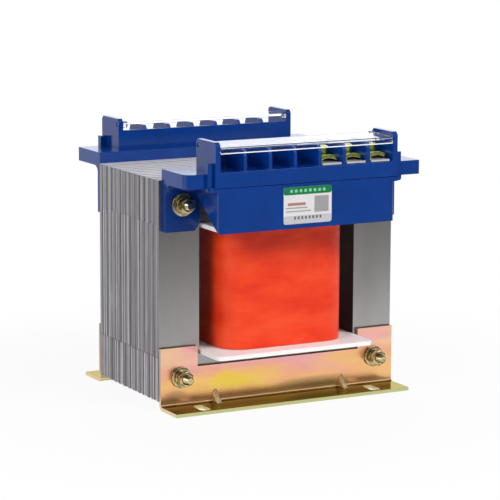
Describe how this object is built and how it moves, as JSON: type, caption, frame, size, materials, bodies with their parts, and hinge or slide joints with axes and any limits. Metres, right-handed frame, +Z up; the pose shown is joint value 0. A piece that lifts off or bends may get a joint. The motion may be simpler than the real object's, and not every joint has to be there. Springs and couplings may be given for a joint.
{
  "type": "step-down transformer",
  "caption": "Open-frame laminated transformer with one wrapped coil, slotted feet, and blue terminal blocks at front and rear under hinged clear covers.",
  "frame": {"origin": "on the mounting plane, under the centre of the core; the centre of the bounding box's bottom face", "axes": "+X to the right as the picture's front is seen, +Y from the front block to the rear block, +Z up"},
  "size_m": [0.15, 0.1472, 0.1532],
  "materials": {
    "lamination_steel": "bare silicon steel, satin, with the sheet edges showing",
    "former_nylon": "off-white moulded nylon",
    "enamelled_copper": "enamelled copper wire",
    "insulation_paper": "insulation paper",
    "wound_tape": "orange-red polyester tape, wound smooth",
    "yellow_zinc": "yellow chromate zinc with a pink and gold sheen",
    "tinned_plate": "tinned, bright",
    "blue_moulding": "blue moulded plastic, semi-gloss",
    "clear_cover": "clear moulded plastic, glossy"
  },
  "bodies": {
    "transformer": {"core_laminations": "lamination_steel", "coil_former": "former_nylon", "primary_winding": "enamelled_copper", "winding_insulation": "insulation_paper", "secondary_winding": "enamelled_copper", "coil_wrap": "wound_tape", "front_foot": "yellow_zinc", "rear_foot": "yellow_zinc", "bolt_lower_left": "yellow_zinc", "bolt_lower_right": "yellow_zinc", "bolt_upper_left": "yellow_zinc", "bolt_upper_right": "yellow_zinc", "nut_lower_left": "yellow_zinc", "nut_lower_right": "yellow_zinc", "nut_upper_left": "yellow_zinc", "nut_upper_right": "yellow_zinc", "spring_washer_lower_left": "yellow_zinc", "spring_washer_lower_right": "yellow_zinc", "spring_washer_upper_left": "yellow_zinc", "spring_washer_upper_right": "yellow_zinc", "front_washer_lower_left": "yellow_zinc", "front_washer_lower_right": "yellow_zinc", "front_washer_upper_left": "yellow_zinc", "front_washer_upper_right": "yellow_zinc", "rear_washer_lower_left": "yellow_zinc", "rear_washer_lower_right": "yellow_zinc", "rear_washer_upper_left": "yellow_zinc", "rear_washer_upper_right": "yellow_zinc", "front_terminal_frame": "blue_moulding", "rear_terminal_frame": "blue_moulding", "front_terminal_strip": "blue_moulding", "rear_terminal_strip": "blue_moulding", "front_terminal_plate_1": "tinned_plate", "front_terminal_plate_2": "tinned_plate", "front_terminal_plate_3": "tinned_plate", "rear_terminal_plate_1": "tinned_plate", "rear_terminal_plate_2": "tinned_plate", "rear_terminal_plate_3": "tinned_plate", "front_terminal_clamp_1": "yellow_zinc", "front_terminal_clamp_2": "yellow_zinc", "front_terminal_clamp_3": "yellow_zinc", "rear_terminal_clamp_1": "yellow_zinc", "rear_terminal_clamp_2": "yellow_zinc", "rear_terminal_clamp_3": "yellow_zinc", "front_terminal_screw_1": "yellow_zinc", "front_terminal_screw_2": "yellow_zinc", "front_terminal_screw_3": "yellow_zinc", "rear_terminal_screw_1": "yellow_zinc", "rear_terminal_screw_2": "yellow_zinc", "rear_terminal_screw_3": "yellow_zinc", "front_lead_1": "enamelled_copper", "front_lead_2": "enamelled_copper", "front_lead_3": "enamelled_copper", "rear_lead_1": "enamelled_copper", "rear_lead_2": "enamelled_copper", "rear_lead_3": "enamelled_copper"},
    "front_cover": {"front_cover": "clear_cover"},
    "rear_cover": {"rear_cover": "clear_cover"}
  },
  "joints": [
    {"name": "front_cover_hinge", "type": "hinge", "parent": "transformer", "child": "front_cover", "pos_m": [0, -0.0523, 0.1496], "axis": [-1, 0, 0], "range_deg": [0, 110]},
    {"name": "rear_cover_hinge", "type": "hinge", "parent": "transformer", "child": "rear_cover", "pos_m": [0, 0.0523, 0.1496], "axis": [1, 0, 0], "range_deg": [0, 110]}
  ]
}
